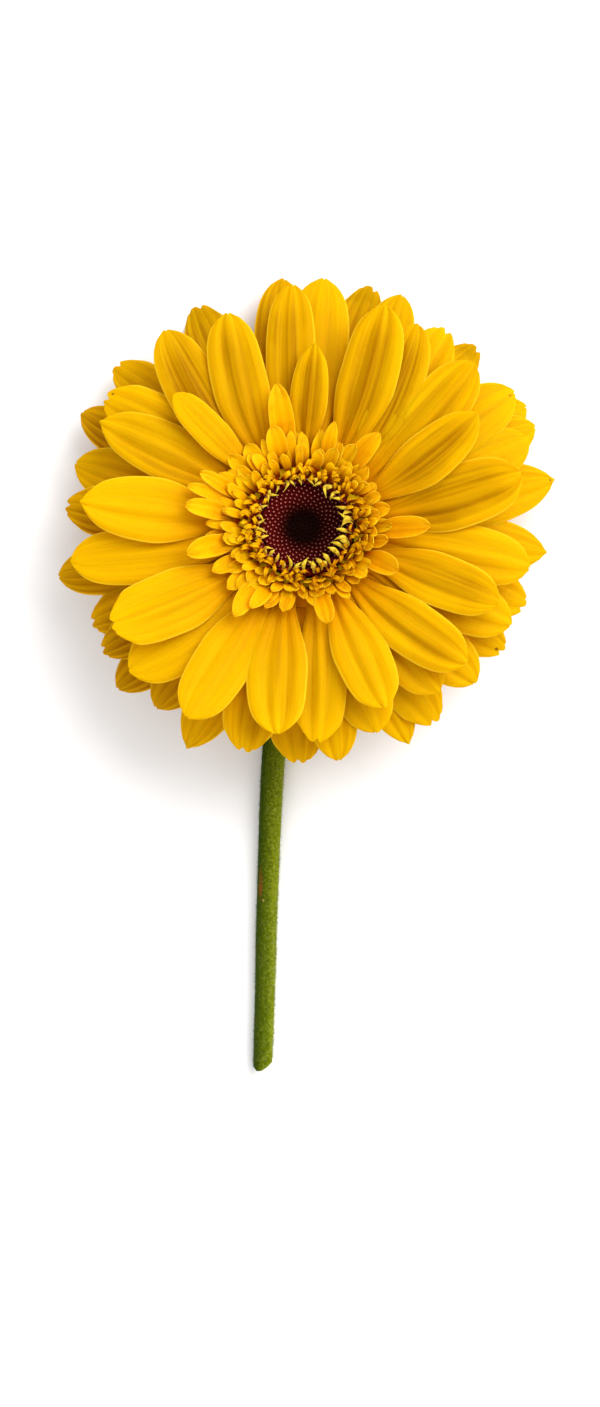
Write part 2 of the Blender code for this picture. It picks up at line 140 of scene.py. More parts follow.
def modelBlade(columns, rows):
    # a flat blade, 2 wide and 2 long, with its UV map: x across, y along
    bpy.ops.mesh.primitive_grid_add(x_subdivisions=columns, y_subdivisions=rows, size=2)
    return bpy.context.object


def bend(model, place):
    # where each point of a blade goes, from u across it, -1 to 1, and t along it, 0 to 1
    return [place(vert.co.x, (vert.co.y + 1) / 2) for vert in model.data.vertices]


def bladeBorders(model):
    # its sides and its tip, which are left thinner
    return [abs(vert.co.x) > 0.99 or vert.co.y > 0.99 for vert in model.data.vertices]


def modelBud():
    bpy.ops.mesh.primitive_ico_sphere_add(subdivisions=2, radius=1)
    return bpy.context.object


def shapeBud(model, middle, wide, tall, narrowing=0):
    points = []
    for vert in model.data.vertices:
        x, y, z = vert.co
        around = wide * (1 - narrowing * max(0, z))
        points.append(bloomPlace @ (middle + Vector((x * around, y * around, z * tall))))
    return points


def sliceInRings(count):
    # cuts the active cylinder or rod, 2 high, into rings of equal height
    for number in range(1, count):
        editMode()
        bpy.ops.mesh.bisect(plane_co=(0, 0, -1 + 2 * number / count), plane_no=(0, 0, 1))
    objectMode()


def gatherCopies(name, model, shapes, tones):
    # one mesh from the model's faces, once for each list of moved vertices
    source = model.data
    corners = [list(face.vertices) for face in source.polygons]
    uvs = [tuple(loop.uv) for loop in source.uv_layers.active.data]
    count = len(source.vertices)
    verts, faces = [], []
    for number, shape in enumerate(shapes):
        verts.extend(shape)
        faces.extend([corner + number * count for corner in face] for face in corners)
    mesh = bpy.data.meshes.new(name)
    mesh.from_pydata(verts, [], faces)
    mesh.update()
    layer = mesh.uv_layers.new(name="UVMap")
    layer.data.foreach_set("uv", [value for _ in shapes for uv in uvs for value in uv])
    piece = placeInScene(name, mesh)
    addAttribute(piece, "tone", [value for value in tones for _ in range(count)])
    bpy.data.objects.remove(model, do_unlink=True)
    return piece


def gatherBuds(name, bud, shapes, tones):
    # the crown attribute runs up each bud to its tip
    up = [vert.co.z for vert in bud.data.vertices]
    buds = gatherCopies(name, bud, shapes, tones)
    addAttribute(buds, "crown", up * len(shapes))
    return buds


def giveThickness(piece, thickness, borders=None, edgeShare=1):
    makeActive(piece)
    shell = piece.modifiers.new("thickness", "SOLIDIFY")
    shell.thickness = thickness
    shell.offset = 0
    if borders is not None:
        body = piece.vertex_groups.new(name="body")
        inner = [index for index in range(len(piece.data.vertices)) if not borders[index % len(borders)]]
        body.add(inner, 1, "REPLACE")
        shell.vertex_group = "body"
        shell.thickness_vertex_group = edgeShare
    bpy.ops.object.modifier_apply(modifier=shell.name)


def joinPieces(pieces, name):
    makeActive(pieces[0])
    for piece in pieces:
        piece.select_set(True)
    bpy.ops.object.join()
    pieces[0].name = name
    return pieces[0]


def turnOutwards(piece):
    makeActive(piece)
    editMode()
    bpy.ops.mesh.remove_doubles(threshold=finish["merge"])
    bpy.ops.mesh.normals_make_consistent(inside=False)
    objectMode()


def spinInBloom(name, profile, steps, toneAt=lambda point: 0.5):
    # a solid turned about the bloom's axis, from radii and heights drawn as a chain of edges
    mesh = bpy.data.meshes.new(name)
    chain = [(radius, 0, height) for radius, height in profile]
    edges = [(index, index + 1) for index in range(len(chain) - 1)]
    if profile[0][0] > 0:
        edges.append((len(chain) - 1, 0))
    mesh.from_pydata(chain, edges, [])
    mesh.uv_layers.new(name="UVMap")
    piece = placeInScene(name, mesh)
    makeActive(piece)
    turn = piece.modifiers.new("turn", "SCREW")
    turn.steps = steps
    turn.render_steps = steps
    turn.use_merge_vertices = True
    turn.merge_threshold = finish["merge"]
    bpy.ops.object.modifier_apply(modifier=turn.name)
    turnOutwards(piece)
    addAttribute(piece, "tone", [toneAt(vert.co) for vert in piece.data.vertices])
    piece.data.transform(bloomPlace)
    return piece


def finishPiece(piece, node, slot, *materials):
    # to metres, down onto the table, smooth, and onto the frame
    for vert in piece.data.vertices:
        vert.co *= mm
        if vert.co.z < finish["settleBelow"]:
            vert.co.z = 0
    makeActive(piece)
    bpy.ops.object.shade_smooth_by_angle(angle=radians(finish["smoothBelow"]))
    for material in materials:
        piece.data.materials.append(material)
    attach(piece, "root")
    if node:
        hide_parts(node)
    print("made", piece.name, len(piece.data.polygons), "faces")


# materials

making = {"tree": None}  # the node tree that the helpers add to


def newMaterial(name):
    material = bpy.data.materials.new(name)
    material.use_nodes = True
    making["tree"] = material.node_tree
    return material, material.node_tree.nodes["Principled BSDF"]


def feed(node, inputs):
    # each socket takes another node's output, or a plain value
    for key, source in inputs.items():
        socket = node.inputs[key]
        if hasattr(source, "is_linked"):
            making["tree"].links.new(source, socket)
        else:
            socket.default_value = (*source, 1) if socket.type == "RGBA" else source


def addNode(kind, inputs=None, **values):
    node = making["tree"].nodes.new("ShaderNode" + kind)
    for key, value in values.items():
        setattr(node, key, value)
    feed(node, inputs or {})
    return node


def objectPlace():
    return addNode("TexCoord").outputs["Object"]


def uvPlace():
    return addNode("UVMap", uv_map="UVMap").outputs["UV"]


def attribute(name):
    return addNode("Attribute", attribute_name=name).outputs["Fac"]


def axes(vector):
    return addNode("SeparateXYZ", {0: vector}).outputs[:]


def stretch(vector, scale):
    return addNode("Mapping", {"Vector": vector, "Scale": scale}).outputs[0]


def noise(vector, scale, detail, roughness=0.5):
    inputs = {"Vector": vector, "Scale": scale, "Detail": detail, "Roughness": roughness}
    return addNode("TexNoise", inputs).outputs["Fac"]


def ramp(source, stops):
    node = addNode("ValToRGB", {"Fac": source})
    elements = node.color_ramp.elements
    while len(elements) < len(stops):
        elements.new(0.5)
    for element, (place, color) in zip(elements, stops):
        element.position = place
        element.color = (*color, 1)
    return node.outputs["Color"]


def mixColor(factor, first, second):
    return addNode("Mix", {0: factor, 6: first, 7: second}, data_type="RGBA").outputs[2]


def mathNode(operation, first, second=0, third=0):
    return addNode("Math", {0: first, 1: second, 2: third}, operation=operation).outputs[0]


def times(first, second):
    return mathNode("MULTIPLY", first, second)


def offMiddle(across):
    return mathNode("ABSOLUTE", mathNode("SUBTRACT", across, 0.5))


def vectorMath(operation, first, second=(0, 0, 0)):
    node = addNode("VectorMath", {0: first, 1: second}, operation=operation)
    return node.outputs["Value" if operation == "LENGTH" else "Vector"]


def mapRange(value, low, high, toLow=0, toHigh=1):
    inputs = {"Value": value, "From Min": low, "From Max": high, "To Min": toLow, "To Max": toHigh}
    return addNode("MapRange", inputs, interpolation_type="SMOOTHSTEP").outputs["Result"]


def tint(color, other, value, low, high, share=1):
    # the colour turns into the other one as the value runs from low to high
    return mixColor(mapRange(value, low, high, 0, share), color, other)


def addSpecks(color, place, specks, fade):
    # spots with a soft border, which ends at fade times their size
    for *middle, size, longer, speckColor in specks:
        away = vectorMath("SUBTRACT", place, Vector(middle) * mm)
        away = vectorMath("MULTIPLY", away, (1, 1 / longer, 1))
        away = vectorMath("LENGTH", away)
        spot = mapRange(away, 0.4 * size * mm, fade * size * mm, 0.85, 0)
        color = mixColor(spot, color, speckColor)
    return color


def finishSurface(shader, look, color, height, grain):
    strength, depth = look["relief"]
    feed(shader, {
        "Base Color": color,
        "Normal": addNode("Bump", {"Strength": strength, "Distance": depth, "Height": height}).outputs[0],
        "Roughness": mapRange(grain, *look["roughness"]),
        "Specular IOR Level": look["gloss"],
        "Subsurface Weight": look["glow"],
        "Subsurface Radius": look["glowColor"],
        "Subsurface Scale": look["glowDepth"],
    })


def petalMaterial(name, look):
    # colour runs from the petal's foot to its tip, with fine veins along it and a painted edge: a pale
    # painted highlight along a petal's rim and crimson painted shade along a floret lobe's rim
    material, shader = newMaterial(name)
    place, uv, tone = objectPlace(), uvPlace(), attribute("tone")
    across, along = axes(uv)[:2]
    patches = noise(place, look["patchScale"], 3)
    # the tone attribute deepens each petal towards the deep colour, most in a soft blotch down its middle:
    # painted shade, on the ray petals partly their own deeper yellow
    strayed = mathNode("MULTIPLY_ADD", patches, 0.5, mathNode("SUBTRACT", across, 0.75))
    window = mapRange(mathNode("ABSOLUTE", strayed), 0.44, 0.12)
    window = times(window, mapRange(along, 0.1, 0.38))
    window = times(window, mapRange(along, 1, 0.7))
    window = mathNode("MULTIPLY_ADD", window, look["blotch"], 1 - look["blotch"])
    # painted shade: in the back rows the shade attribute darkens the whole petal, less towards its tip
    shade = times(attribute("shade"), mapRange(along, 0.82, 1, 0.66, 0.42))
    depth = mathNode("MULTIPLY_ADD", window, times(tone, look["toneShare"]), shade)
    # streaks and veins are stretched along the petal, and differ in each
    offset = addNode("CombineXYZ", {2: times(tone, 40)}).outputs[0]
    shifted = vectorMath("ADD", uv, offset)
    streaks, veins = [
        noise(stretch(shifted, (frequency, look["veinRun"], 1)), 1, 2, 0.6)
        for frequency in (look["streaks"], look["veins"])
    ]
    streakDepth = mathNode("MULTIPLY_ADD", depth, 0.55, look["streakShare"])
    streaked = times(mapRange(streaks, 0.34, 0.66, -0.4, 0.6), streakDepth)
    depth = mathNode("MAXIMUM", mathNode("ADD", depth, streaked), 0)
    # the deep colour is the painted shade, and the patches below share it as random mottling
    color = mixColor(depth, ramp(along, look["run"]), look["deep"])
    color = tint(color, look["deep"], patches, 0.42, 0.72, look["patchShare"])
    color = tint(color, look["vein"], veins, 0.5, 0.75, look["veinShare"])
    # painted edge: pale painted highlight on the petals, crimson painted shade on the floret lobes
    toRim = times(offMiddle(across), 2)
    color = tint(color, look["rim"], toRim, 0.91, 0.98, look["rimShare"])
    if "flank" in look:
        # painted shade: the sides that don't face up are painted redder than the tops
        facing = addNode("NewGeometry").outputs["Normal"]
        color = tint(color, look["flank"], axes(facing)[2], 0.5, 0.05, look["flankShare"])
    specks = [(*speck, 1, look["speckColor"]) for speck in look["specks"]]
    color = addSpecks(color, place, specks, 1.3)
    fine = noise(place, 2600, 2)
    finishSurface(shader, look, color, mathNode("ADD", times(fine, 0.35), veins), veins)
    # light that comes through from behind
    through = addNode("BsdfTranslucent", {"Color": look["through"]})
    if "throughFoot" in look:
        glowRun = ramp(along, ((0.1, look["throughFoot"]), (0.46, look["through"])))
        feed(through, {"Color": glowRun})
    blend = addNode("MixShader", {0: look["throughShare"], 1: shader.outputs[0], 2: through.outputs[0]})
    feed(making["tree"].nodes["Material Output"], {"Surface": blend.outputs[0]})
    return material


def greenMaterial(name, look):
    # plant green in soft patches, streaked along one direction, with a fine downy grain
    material, shader = newMaterial(name)
    place, tone = objectPlace(), attribute("tone")
    streaks = noise(stretch(place, look["stretch"]), 1, 4)
    patches = noise(place, look["patchScale"], 3)
    fine = noise(place, look["downScale"], 3)
    color = ramp(streaks, look["streaks"])
    color = tint(color, look["patch"], patches, 0.45, 0.75, 0.5)
    # the tone mixes in the tip colour: the bracts' own darker tips, and painted shade on the stem's left
    # flank
    color = mixColor(times(tone, look["toneShare"]), color, look["tip"])
    if "keel" in look:
        fromKeel = offMiddle(axes(uvPlace())[0])
        color = tint(color, look["margin"], fromKeel, 0.3, 0.47, 0.6)
        color = tint(color, look["keel"], fromKeel, 0.1, 0.02, 0.5)
    # pale down where the tone is low, which on the stem is painted light on its right flank, and dark grain
    # between
    pale = mathNode("SUBTRACT", 1, times(tone, 0.92))
    pale = times(pale, mapRange(fine, 0.52, 0.66, 0, look["down"]))
    color = mixColor(pale, color, look["downColor"])
    color = tint(color, look["tip"], fine, 0.48, 0.34, look["down"])
    color = addSpecks(color, place, look["specks"], 1)
    finishSurface(shader, look, color, mathNode("ADD", times(fine, 0.5), streaks), fine)
    return material


def eyeMaterial(name, look):
    # the tone attribute is the share of the eye's radius, and crown runs up each bud to its tip
    material, shader = newMaterial(name)
    place, tone, crown = objectPlace(), attribute("tone"), attribute("crown")
    fine = noise(place, look["scale"], 2)
    x = axes(place)[0]
    # black in the middle, burgundy towards the florets, redder on the left of the bloom
    outer = times(mapRange(tone, 0.3, 0.8), mapRange(x, -0.009, 0.007, 1, 0.22))
    color = mixColor(outer, look["middle"], look["outer"])
    color = mixColor(times(fine, 0.4), color, look["middle"])
    top = times(mapRange(crown, 0.62, 0.93), mapRange(x, -0.009, 0.008, 1, 0.4))
    glint = times(top, mapRange(tone, 0.34, 0.82, 0, 0.95))
    finishSurface(shader, look, mixColor(glint, color, look["tips"]), fine, fine)
    return material


def plainGrain(name, look):
    # a quiet finish for small things: two tones in fine grain
    material, shader = newMaterial(name)
    grain = noise(objectPlace(), look["scale"], 3)
    color = tint(look["light"], look["dark"], grain, 0.35, 0.65)
    # the tone attribute darkens it: at random on the anthers, evenly on the floret bed, and as painted shade
    # on the stem's left for the hairs and the cut pith
    color = mixColor(times(attribute("tone"), look["toneShare"]), color, look["dark"])
    finishSurface(shader, look, color, grain, grain)
    return material


# what each kind of surface has in common, wherever it is used
petalLook = {
    "vein": (0.68, 0.3, 0),
    "relief": (0.3, 0.00012),  # strength, and depth in m
    "roughness": (0.3, 0.8, 0.42, 0.58),  # two values of the grain, and how rough it is at each
    "gloss": 0.02,
    "glow": 0.25,  # light that spreads inside, and its depth in m
    "glowColor": (1, 0.55, 0.05),
    "glowDepth": 0.0009,
    "specks": (),  # x, y, z and size, mm
    "speckColor": (0.07, 0.035, 0.008),
}
greenLook = {
    "patchScale": 90,
    "downScale": 1800,
    "downColor": (0.34, 0.36, 0.05),
    "relief": (0.5, 0.0002),
    "roughness": (0.3, 0.7, 0.42, 0.62),
    "gloss": 0.015,
    "glow": 0.12,
    "glowColor": (0.6, 1, 0.2),
    "glowDepth": 0.0007,
    "specks": (),  # x, y, z and size, mm, how far drawn out along the stem, and colour
}
grainLook = {
    "toneShare": 0.35,
    "relief": (0.5, 0.0001),
    "roughness": (0.3, 0.7, 0.45, 0.7),
    "gloss": 0.03,
    "glow": 0.1,
    "glowColor": (1, 0.2, 0.1),
    "glowDepth": 0.0005,
}
eyeLook = {
    **grainLook,
    "scale": 400,
    "middle": (0.005, 0.001, 0.0005),
    "relief": (0.3, 0.0001),
    "roughness": (0.3, 0.7, 0.5, 0.75),
    "gloss": 0.008,
    "glow": 0,
}


# ray petals: the two big rows, each petal where it is seen from above

petals = {
    "seed": 5,
    "columns": 20,
    "rows": 34,
    "thickness": 0.46,
    "edgeShare": 0.45,  # of the thickness, at the borders
    "rootRadius": 14.2,
    "rootHeight": (-2.86, 0.29),  # of a level 0 petal, and what each level adds
    "middleHeight": (-4, 1.1),
    "tipHeights": (-12, -10, -7.6, -4.6, -1.2, 2.2, 4.6, 6.2),  # by level: the front row is a bowl
    "lastBackLevel": 2,
    "guideShare": 0.45,  # how far a petal keeps to the bearing of its root
    "tips": {"round": (0.985, 3.7, 0.5), "notched": (0.93, 4, 0.5), "pointed": (0.99, 2.7, 0.6)},
    "furrow": 0.046,  # depth of the two furrows, as a share of the width
    "ridge": 0.012,
    "sideDepth": (0.75, 1.25),  # random share of that depth, for each furrow
    "groove": (0.32, 0.38),  # where the furrows run, as a share of the half width
    "dip": (-0.05, -0.02),  # of the sides, as a share of the width
    "roll": 0.05,
    "waves": (0, 6.28),  # where the ripple of the edges starts
    "teeth": ((-0.35, 0.1), (0.4, 0.65)),  # where across the tip its notches may be
    "resting": (46.5, 74.3, 115.5),  # these droop until they lie on the table
    "restingDrop": 3.4,
    "lowest": 0.12,
    "ring": ((17.6, -1.1), (17.6, -2.4), (15.9, -3.2), (12.6, -3.2), (12.6, -0.35), (14.6, -0.35)),
    "look": {
        **petalLook,
        "run": (
            (0, (0.7, 0.22, 0)), (0.2, (0.8, 0.4, 0)), (0.5, (0.82, 0.48, 0)), (1, (0.82, 0.52, 0)),
        ),
        "deep": (0.31, 0.128, 0), "toneShare": 0.8, "blotch": 0.72,
        "patchScale": 70, "patchShare": 0.12,
        "streaks": 9, "streakShare": 0.2,
        "veins": 28, "veinRun": 0.7, "veinShare": 0.38,
        "rim": (0.92, 0.63, 0.02), "rimShare": 0.62,
        "relief": (0.6, 0.00012), "roughness": (0.3, 0.8, 0.42, 0.55),
        "through": (0.92, 0.37, 0), "throughShare": 0.27,
        "specks": (
            (12.6, 79.2, 25, 0.45), (45, 62.4, 13.4, 0.4), (42, 6.2, 18.5, 0.45),
            (-42.9, 62.6, 16.6, 0.35), (54, 43.7, 10.1, 0.35), (-44.6, 6, 17, 0.4),
        ),
    },
}

# bearing of the tip, reach, width, level, bearing of the root, depth of the furrows,
# how much painted shade deepens the petal, partly its own deeper yellow, and the kind of tip where it isn't
# round
rays = (
    (11.2, 56.9, 14, 0, 9, 1, 0.14, "pointed"), (14, 49.7, 14.3, 5, 9, 1.3, 0.78),
    (21.5, 53.8, 13, 3, 20, 0.6, 0.1), (24, 56.4, 12, 1, 25, 0.8, 0.15),
    (29, 56.7, 12.5, 0, 31, 0.5, 0.07), (33.2, 55.9, 13.5, 3, 33, 0.6, 0.25),
    (33.5, 46.5, 11.5, 7, 26, 0.3, 0.7, "pointed"), (44.3, 52.7, 13, 5, 38, 1.2, 0.42),
    (46.5, 56.2, 10.8, 1, 48, 1, 0.5, "notched"), (54.3, 54.6, 12.5, 3, 53, 1, 0.21, "notched"),
    (60.7, 52, 11, 5, 51, 1.3, 0.85), (67.2, 56.6, 12, 2, 64, 1, 0.42),
    (69.8, 52.6, 12.8, 6, 63, 1.5, 0.8), (74.3, 56.3, 11, 0, 77, 1.2, 0.6, "notched"),
    (85.3, 56, 14, 3, 86, 0.4, 0.32), (86.3, 41, 8.4, 7, 88.5, 1.8, 0.8, "pointed"),
    (92.5, 54.3, 11, 5, 96, 1, 0.68), (94.6, 56, 11.8, 2, 101, 0.9, 0.65),
    (109.3, 50.6, 12.4, 6, 118, 1.1, 0.6), (115.5, 55.2, 12, 1, 117, 1, 0.8, "notched"),
    (124.8, 53.6, 12.5, 5, 133, 0.8, 0.85), (133.8, 41.2, 7.4, 7, 133.5, 0.25, 0.12),
    (139.2, 55.3, 11.8, 1, 134, 1, 0.5, "notched"), (146.4, 52.6, 13, 4, 141, 0.9, 0.3, "notched"),
    (152.4, 55.6, 11.5, 0, 153, 0.8, 1), (152.2, 50.8, 12.8, 5, 149, 1.5, 0.5, "pointed"),
    (164, 52.6, 13, 1, 165, 0.5, 0.5), (173.2, 49.6, 14.6, 6, 173, 0.9, 0, "pointed"),
    (174.5, 52.8, 12, 2, 177, 0.8, 0.95, "notched"), (187.8, 51.8, 12.8, 4, 191.5, 1, 0.07),
    (191, 55.2, 12, 0, 193, 0.5, 0.75), (204.3, 51.2, 11.8, 1, 206, 0.8, 0.9, "notched"),
    (206.8, 47.4, 14.3, 6, 213, 0.9, 0.15, "notched"), (211.6, 52, 10.5, 2, 214, 0.6, 1, "notched"),
    (219.6, 49.7, 14, 4, 227, 0.5, 0.07), (220.7, 54.2, 11.5, 0, 222, 0.5, 1),
    (230.6, 51.3, 12, 1, 231, 0.6, 0.8), (238.6, 49, 13, 6, 240, 0.8, 0.05),
    (242.2, 55, 13, 0, 243, 1.3, 0.3, "pointed"), (255.5, 51, 13, 3, 251, 0.8, 0.6, "notched"),
    (263, 45.8, 13.4, 6, 256.5, 1.5, 0.35), (269.3, 51.9, 13.3, 1, 266, 1, 0.4, "notched"),
    (273.6, 47.4, 11.5, 4, 280, 1.3, 0.21, "notched"), (278.7, 51.9, 11.5, 2, 279, 1.2, 0.14),
    (290, 48, 13, 3, 290, 1, 0.21), (294.6, 43.5, 12.2, 6, 295, 1.5, 0.06),
    (296.2, 53.1, 11.5, 0, 297, 1.4, 0.07, "pointed"), (304.3, 52, 12.2, 1, 303, 1.2, 0.14, "notched"),
    (309.6, 47, 12, 4, 309, 1.4, 0.28), (318.3, 51.2, 12.8, 2, 319, 1.3, 0.21),
    (320.4, 46.7, 12.4, 6, 314, 1.6, 0.42), (328.8, 52, 11.2, 0, 330, 1.4, 0.21, "notched"),
    (335.3, 50.7, 12.6, 3, 333, 1.4, 0.21), (339.2, 46.2, 11.8, 6, 339, 1.3, 0.6),
    (341, 52.1, 12.5, 1, 343, 1, 0.14, "notched"), (350.2, 50.9, 12.8, 4, 353, 1, 0.21),
    (354.5, 54.3, 13, 0, 356, 1, 0.15, "pointed"),
)


def halfWidth(kind, t):
    # share of the petal's half width at t along it
    reach, power, root = petals["tips"][kind]
    rise = 0.28 + 0.72 * smooth(t / 0.56)
    s = max(0, (t - 0.5) / 0.5)
    return rise * max(0, 1 - (reach * s) ** power) ** root


def tipTeeth(kind, u, places):
    # how far the tip's edge steps back, across the petal, in mm
    if kind == "notched":
        deep = 0.95 * max(0, 1 - abs(u - places[0]) / 0.24)
        return deep + 0.4 * max(0, 1 - abs(u - places[1]) / 0.2) + 1.8 * abs(u) ** 2.6
    if kind == "round":
        return 0.7 * u * u + 0.35 * bump(u, places[0], 0.12)
    return 0.8 * abs(u) ** 1.5


def bloomHeight(flat, localHeight):
    # the height over the table of a point seen from above at flat, from its height over the bloom's face
    drop = (flat.y + bloom["hinge"]) * tan(bloom["lean"])
    return bloom["middle"].z + localHeight / cos(bloom["lean"]) - drop


def shapePetal(model, ray):
    bearing, reach, width, level, rootBearing, furrows = ray[:6]
    kind = ray[7] if len(ray) > 7 else "round"
    run = reach - petals["rootRadius"]
    root = outwards(rootBearing) * petals["rootRadius"]
    guide = root + outwards(rootBearing) * (petals["guideShare"] * run)
    tip = outwards(bearing) * reach
    low, middle = [petals[key][0] + petals[key][1] * level for key in ("rootHeight", "middleHeight")]
    high = petals["tipHeights"][level]
    if bearing in petals["resting"]:
        below = -bloom["middle"].z - petals["restingDrop"]
        high = below * cos(bloom["lean"]) + (tip.y + bloom["hinge"]) * sin(bloom["lean"])
    depth = petals["furrow"] * furrows * width
    ridge = petals["ridge"] * width * furrows
    side = draw(petals, "sideDepth", "sideDepth")
    groove, roll = draw(petals, "groove", "roll")
    teeth = [uniform(*span) for span in petals["teeth"]]
    waves, dip = draw(petals, "waves", "dip")

    def line(t):
        flat = root * (1 - t) ** 2 + guide * (2 * t * (1 - t)) + tip * t * t
        return flat, arc(low, middle, high, t)

    pathLength = hypot(run, 1.4 * (high - middle))

    def place(u, s):
        t = s * (1.3 - 0.3 * s)
        back = tipTeeth(kind, u, teeth) * smooth((t - 0.84) / 0.16)
        # the notches follow the petal's own curve, so they stay small where it hangs steeply
        flat, height = line(t - back / pathLength)
        ahead = (line(min(1, t + 0.02))[0] - line(t - 0.02)[0]).normalized()
        wide = u * halfWidth(kind, t) * width / 2
        point = flat + sideways(ahead) * wide
        strength = smooth(t * 3.5) * (1 - 0.6 * smooth((t - 0.78) / 0.22))
        fold = -depth * side[u > 0] * bump(abs(u), groove, 0.19) + ridge * bump(u, 0, 0.2)
        edge = max(0, (abs(u) - 0.75) / 0.25) ** 2
        height += strength * (fold + dip * width * u * u - 0.03 * width * edge)
        height += roll * wide * t + 0.05 * sin(t * 9 + waves + 2 * u) * edge * width * 0.12
        # drawn out sideways over the floor, the point keeps its height over the bloom's face
        z = max(bloomHeight(point, height), petals["lowest"])
        return point.x + bloom["middle"].x, point.y + bloom["middle"].y, z

    return bend(model, place)


def makePetals():
    seed(petals["seed"])
    model = modelBlade(petals["columns"], petals["rows"])
    borders = bladeBorders(model)
    shapes = [shapePetal(model, ray) for ray in rays]
    tones = [ray[6] * (ray[3] > petals["lastBackLevel"]) for ray in rays]
    piece = gatherCopies("rayPetals", model, shapes, tones)
    # painted shade: in the back rows it is the tip that shows, so their tone is painted over the whole petal
    # as shade
    shades = [ray[6] * (ray[3] <= petals["lastBackLevel"]) for ray in rays]
    addAttribute(piece, "shade", [shade for shade in shades for _ in borders])
    giveThickness(piece, petals["thickness"], borders, petals["edgeShare"])
    ring = spinInBloom("ring", petals["ring"], steps=48)
    piece = joinPieces([piece, ring], "rayPetals")
    finishPiece(piece, "ray_petals", "ray_petal", petalMaterial("petalYellow", petals["look"]))


# inner petals: rows of small tongues round the disc, with a few long ones among them

inners = {
    "seed": 11,
    "thickness": 0.36,
    "edgeShare": 0.5,
    "rows": (  # count, root radius, reach, width, height of the root and of the tip
        (26, 13.8, 20.8, 3.5, 0.8, 3.9),
        (30, 13.4, 19.4, 3.1, 0.85, 4.3),
        (32, 12.9, 17.6, 2.7, 0.9, 4.7),
        (34, 12.3, 15.7, 2.2, 0.95, 5),
    ),
    "long": (  # bearing, reach, width
        (51.4, 26.6, 5), (72.2, 24.1, 3.2), (101.9, 32, 5.6), (108, 23, 4.6), (154.3, 25.5, 3.4),
        (161.8, 27, 3), (171.3, 26.4, 4.2), (193.8, 26.6, 4.8), (232.5, 26.1, 4.6), (241.7, 22.6, 3.6),
        (283.6, 23.4, 4.2), (333, 23.7, 4.8), (357, 28.1, 4.8),
    ),
    "dip": (-0.02, 0.2),  # of the middle, as a share of the width
    "curl": (-0.4, 1.3),  # of the tip
    "sway": 0.9,  # of the tip to one side
    "twist": 0.5,
    "notch": 0.3,
    "point": (2.2, 4),  # the more, the blunter
    "reachStray": (-1.4, 1),
    "widthStray": (0.7, 1.2),  # shares
    "heightStray": (-0.9, 0.5),  # of the tip
    "longRoot": 13.8,
    "longHeights": (0.8, 6),
    "ring": ((14.4, 1.3), (14.4, 0), (11.7, 0), (11.7, 1.3)),
    "look": {
        **petalLook,
        "run": (  # crimson feet, seen between the florets
            (0, (0.28, 0.008, 0.003)), (0.2, (0.52, 0.06, 0)), (0.38, (0.92, 0.43, 0)),
            (0.65, (0.98, 0.59, 0)), (1, (0.98, 0.66, 0.005)),
        ),
        "deep": (0.57, 0.22, 0), "toneShare": 0.68, "blotch": 0.4,
        "patchScale": 300, "patchShare": 0.3,
        "streaks": 5, "streakShare": 0.14,
        "veins": 10, "veinRun": 0.6, "veinShare": 0.3,
        "rim": (0.92, 0.64, 0.02), "rimShare": 0.7,
        "through": (0.95, 0.37, 0),
        "throughFoot": (0.34, 0.012, 0.002), "throughShare": 0.32,
    },
}


def shapeTongue(model, bearing, root, reach, width, low, high):
    out = outwards(bearing)
    side = sideways(out)
    dip, curl, sway, twist, notch, point = draw(inners, "dip", "curl", "sway", "twist", "notch", "point")

    def place(u, t):
        wide = 0.45 + 0.55 * smooth(t / 0.5)
        wide *= max(0, 1 - (max(0, (t - 0.4) / 0.6) * 0.98) ** point) ** 0.6
        wide *= u * width / 2
        back = (0.35 * bump(u, notch, 0.25) + 0.3 * u * u) * smooth((t - 0.75) / 0.25)
        radius = root + (reach - root) * t - back
        height = low + (high - low) * (t + 0.22 * sin(pi * t)) - curl * t ** 4
        height += dip * width * (u * u - 0.4) * smooth(2 * t) + twist * wide * t
        height -= 0.05 * width * bump(abs(u), 0.4, 0.2) * smooth(3 * t)
        return inBloom(out * radius + side * (wide + sway * t * t), height)

    return bend(model, place)


def paintedLightByBearing(bearing):
    # painted light and shade: the left of the centre is painted lighter, as if it caught the light, and the
    # right a deeper, painted-shade yellow
    return clamp(0.45 - 0.45 * towards(bearing, 170) + uniform(-0.15, 0.25))


def makeInnerPetals():
    seed(inners["seed"])
    small = modelBlade(columns=6, rows=8)
    borders = bladeBorders(small)
    shapes, tones = [], []
    for bearing, root, reach, width, low, high in rowsRound(inners["rows"], 0.5, 0.42):
        leanOut = 1 + 0.1 * towards(bearing, 150)
        tones.append(paintedLightByBearing(bearing))
        further, wider, higher = draw(inners, "reachStray", "widthStray", "heightStray")
        shapes.append(shapeTongue(
            small, bearing, root, reach * leanOut + further, width * wider, low, high + higher,
        ))
    piece = gatherCopies("innerPetals", small, shapes, tones)
    giveThickness(piece, inners["thickness"], borders, inners["edgeShare"])
    large = modelBlade(columns=10, rows=16)
    borders = bladeBorders(large)
    shapes = [
        shapeTongue(large, bearing, inners["longRoot"], reach, width, *inners["longHeights"])
        for bearing, reach, width in inners["long"]
    ]
    longOnes = gatherCopies("longInners", large, shapes, [paintedLightByBearing(long[0]) for long in inners["long"]])
    giveThickness(longOnes, inners["thickness"], borders, inners["edgeShare"])
    ring = spinInBloom("innerRing", inners["ring"], steps=48)
    piece = joinPieces([piece, longOnes, ring], "innerPetals")
    finishPiece(piece, "inner_petals", "inner_petal", petalMaterial("innerPetalYellow", inners["look"]))


# open florets: curled yellow lobes and pale anthers in a tangle round the eye

